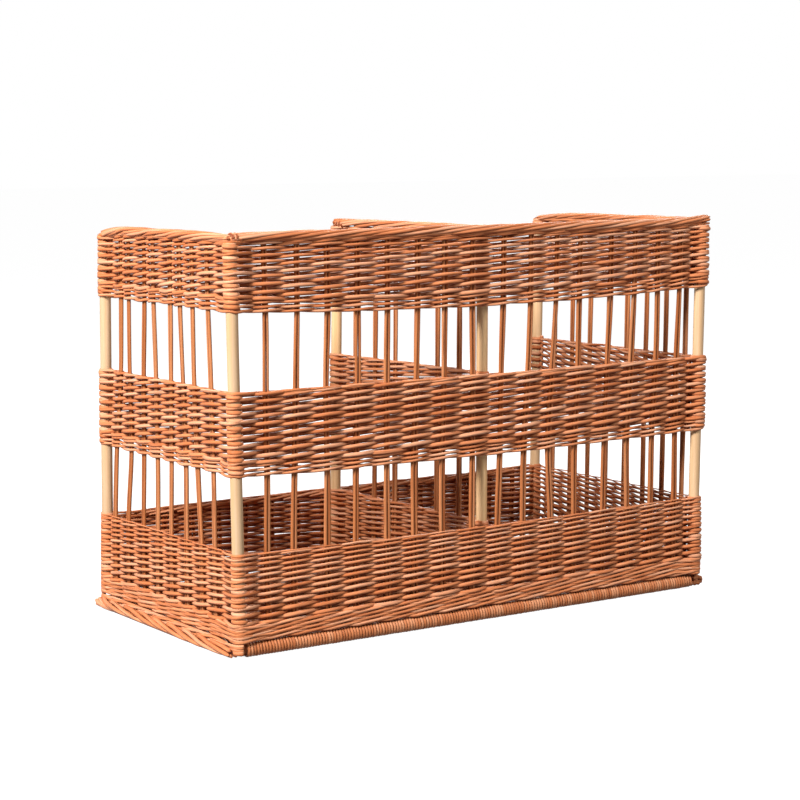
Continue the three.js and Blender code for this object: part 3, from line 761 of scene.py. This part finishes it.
def core(wall, middle, out, radius, dip=0.0, rise=0.0):
    """Straight rods inside a border, at the given distances outwards, which follow its dip and its rise."""
    last = len(wall["number"]) - 1.0
    u = np.broadcast_to(np.linspace(0, last, CORE_POINTS), (len(out), CORE_POINTS))
    z = middle + rise * ending(u, last) - dip * opening(u)
    thick = np.full(u.shape, radius) * (1 - CORE_WAIST * ending(u, last))
    return sweep(place(wall, u, np.asarray(out)[:, None] + 0 * u, z), thick, thick)


def roll(wall, middle, half_out, half_up, at, radius):
    """Rods turned once round a border to bind its start, each from its station on by a tenth of one."""
    turn = np.linspace(0, 2 * np.pi, ROLL_POINTS)
    u = np.asarray(at)[:, None] + 0.05 * turn / np.pi
    out = half_out * np.cos(turn) + 0 * u
    z = middle + half_up * np.sin(turn) + 0 * u
    thick = np.full(u.shape, radius)
    return sweep(place(wall, u, out, z), thick, thick, up=(0.6, 0.8, 0.0))


HALF_UP = 4.0 * MM
CORE_ROD = 2.4 * MM
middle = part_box("top_border")[1][2] - BORDER_ROD - HALF_UP
tubes = []
for first, nodes, second, angle, dip, rise, beyond, waist in (
    ("post_back_left", LEFT_STAKES, "post_front_left", 180, 6 * MM, 0.0, (0, 0, 0), 0.4),
    ("post_front_left", FRONT_STAKES, "post_front_right", 270, 0.0, 4 * MM, (11 * MM, 0, 0), 0.15),
    ("post_front_right", RIGHT_STAKES, "post_back_right", 360, 0.0, -5 * MM, (0, 5 * MM, 0), 0.15),
):
    end = (axis_of(second) + beyond, POST_RADIUS, (angle,), 1.0)
    run = wall_of([post(first, angle), *stakes(nodes, angle), end])
    tubes.append(plait(run, middle, 6.0 * MM, HALF_UP, 5.0, BORDER_TURN, BORDER_ROD, dip, rise, waist))
    tubes.append(core(run, middle - 0.5 * MM, (2.4 * MM, -2.4 * MM), CORE_ROD, dip, rise))
    tubes.append(core(run, middle - 4 * MM, (3 * MM, -3 * MM), CORE_ROD, dip, 0.4 * rise))
    if not dip:
        tubes.append(roll(run, middle - 1 * MM, 7.0 * MM, 5.0 * MM, (0.0, 0.12), BORDER_ROD))
add_piece("top_border_plait", tubes, WILLOW, ["top_border"])
run = wall_of([post("post_divider_back", 180), *stakes(DIVIDER_STAKES, 180), post("post_divider_front", 180)])
tubes = [plait(run, middle, 5.6 * MM, HALF_UP, 4.0, BORDER_TURN, BORDER_ROD),
         core(run, middle - 0.5 * MM, (2.2 * MM, -2.2 * MM), CORE_ROD),
         roll(run, middle - 1 * MM, 6.6 * MM, 5.0 * MM, (0.06, 0.2, 0.34), BORDER_ROD)]
add_piece("divider_border_plait", tubes, WILLOW, ["divider_border"])
low_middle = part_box("back_stakes_and_border")[1][2] - BORDER_ROD - HALF_UP
back_run = wall_of([(axis, STAKE_ROD, (90,), 1.0) for axis in back_stakes])
tubes = [plait(back_run, low_middle, 5.4 * MM, HALF_UP, 4.6, BORDER_TURN, BORDER_ROD),
         core(back_run, low_middle, (1.8 * MM, -1.8 * MM), CORE_ROD)]
add_piece("back_border_plait", tubes, WILLOW, ["back_stakes_and_border"])

# Foot borders. The butts of the end stakes are bent out under each end and plaited along the floor.
# Every strand leaves the wall beside a stake and slants down and forwards to the edge on the floor.
FOOT_ROD = 2.8 * MM
FOOT_MIDDLE = 7.2 * MM
FOOT_TURN = (130, -75)
FOOT_OUT = 11 * MM
FOOT_CORE = 3.4 * MM
FOOT_CORE_HEIGHT = 3.6 * MM
for name, node, nodes, ends, angle in (
    ("left_foot_plait", "left_foot_border", LEFT_STAKES, ("post_back_left", "post_front_left"), 180),
    ("right_foot_plait", "right_foot_border", RIGHT_STAKES, ("post_front_right", "post_back_right"), 360),
):
    run = wall_of([post(ends[0], angle), *stakes(nodes, angle), post(ends[1], angle)])
    strands = plait(run, FOOT_MIDDLE, 6.0 * MM, 4.0 * MM, 2.7, FOOT_TURN, FOOT_ROD, waist=0.0)
    inner = core(run, FOOT_CORE_HEIGHT, (-12 * MM, -5 * MM, 1 * MM), FOOT_CORE)
    shift = np.array([np.cos(np.radians(angle)) * FOOT_OUT, 0.0, 0.0])
    tubes = [(surface + shift, grain, deep) for surface, grain, deep in (strands, inner)]
    add_piece(name, tubes, WILLOW, [node])

# Studio: a pale floor that shows white to the camera and keeps the shadow, a soft key lamp on the left,
# weaker ones in front and behind on the right, and the camera where the photograph was taken.
FAR = 30
floor_mesh = bpy.data.meshes.new("floor")
floor_mesh.from_pydata([(-FAR, -FAR, 0), (FAR, -FAR, 0), (FAR, FAR, 0), (-FAR, FAR, 0)], [], [(0, 1, 2, 3)])
floor = bpy.data.objects.new("floor", floor_mesh)
bpy.context.scene.collection.objects.link(floor)


def seen_directly(tree):
    """1 for camera, glossy and transmission rays, which see the white background, and 0 for the others."""
    rays = tree.nodes.new("ShaderNodeLightPath").outputs
    mirrored = calculate(tree, "MAXIMUM", rays["Is Glossy Ray"], rays["Is Transmission Ray"])
    return calculate(tree, "MAXIMUM", rays["Is Camera Ray"], mirrored)


paper = bpy.data.materials.new("floor paper")
paper.use_nodes = True
floor_mesh.materials.append(paper)
tree = paper.node_tree
tree.nodes.remove(tree.nodes["Principled BSDF"])
matt = put(tree, "ShaderNodeBsdfDiffuse", Color=(0.25, 0.25, 0.25, 1))
glow = put(tree, "ShaderNodeEmission", Strength=0.98)
lit = put(tree, "ShaderNodeAddShader", [(0, matt.outputs[0]), (1, glow.outputs[0])])
seen = seen_directly(tree)
mixed = put(tree, "ShaderNodeMixShader", [(0, seen), (1, matt.outputs[0]), (2, lit.outputs[0])])
tree.links.new(mixed.outputs[0], tree.nodes["Material Output"].inputs["Surface"])

world = bpy.data.worlds.new("studio")
bpy.context.scene.world = world
world.use_nodes = True
tree = world.node_tree
sky = tree.nodes["Background"]
sky.inputs["Color"].default_value = (1, 1, 1, 1)
sky.inputs["Strength"].default_value = 0.04
white = put(tree, "ShaderNodeBackground", Color=(1, 1, 1, 1), Strength=1.0)
seen = seen_directly(tree)
mixed = put(tree, "ShaderNodeMixShader", [(0, seen), (1, sky.outputs[0]), (2, white.outputs[0])])
tree.links.new(mixed.outputs[0], tree.nodes["World Output"].inputs["Surface"])


def softbox(name, spot, aim, size, power):
    """A square area lamp at a spot, turned towards a point."""
    lamp = bpy.data.lights.new(name, "AREA")
    lamp.size = size
    lamp.energy = power
    holder = bpy.data.objects.new(name, lamp)
    bpy.context.scene.collection.objects.link(holder)
    holder.location = spot
    holder.rotation_euler = (Vector(spot) - Vector(aim)).to_track_quat("Z", "Y").to_euler()


softbox("key", (-2.5, -0.95, 1.95), (0, 0, 0.25), 0.9, 198)
softbox("front fill", (1.7, -2.4, 2.0), (0.15, 0, 0.25), 1.2, 42)
softbox("back fill", (1.9, 2.3, 1.7), (0, 0, 0.25), 1.5, 60)

camera = bpy.data.cameras.new("camera")
camera.lens = 94.8
camera.sensor_width = 36
eye = bpy.data.objects.new("camera", camera)
bpy.context.scene.collection.objects.link(eye)
bpy.context.scene.camera = eye
azimuth, pitch, tilt = np.radians([-33.47, 6.8, -0.5])
back = np.array([np.sin(azimuth) * np.cos(pitch), -np.cos(azimuth) * np.cos(pitch), np.sin(pitch)])
level = np.cross(-back, (0, 0, 1))
level /= np.linalg.norm(level)
up = np.cross(level, -back)
right = level * np.cos(tilt) + up * np.sin(tilt)
up = np.cross(back, right)
spot = np.array([-1.5320, -2.3061, 0.5936])
eye.matrix_world = Matrix(np.vstack([np.stack([right, up, back, spot], axis=1), (0, 0, 0, 1)]).tolist())
bpy.context.scene.view_settings.view_transform = "Standard"
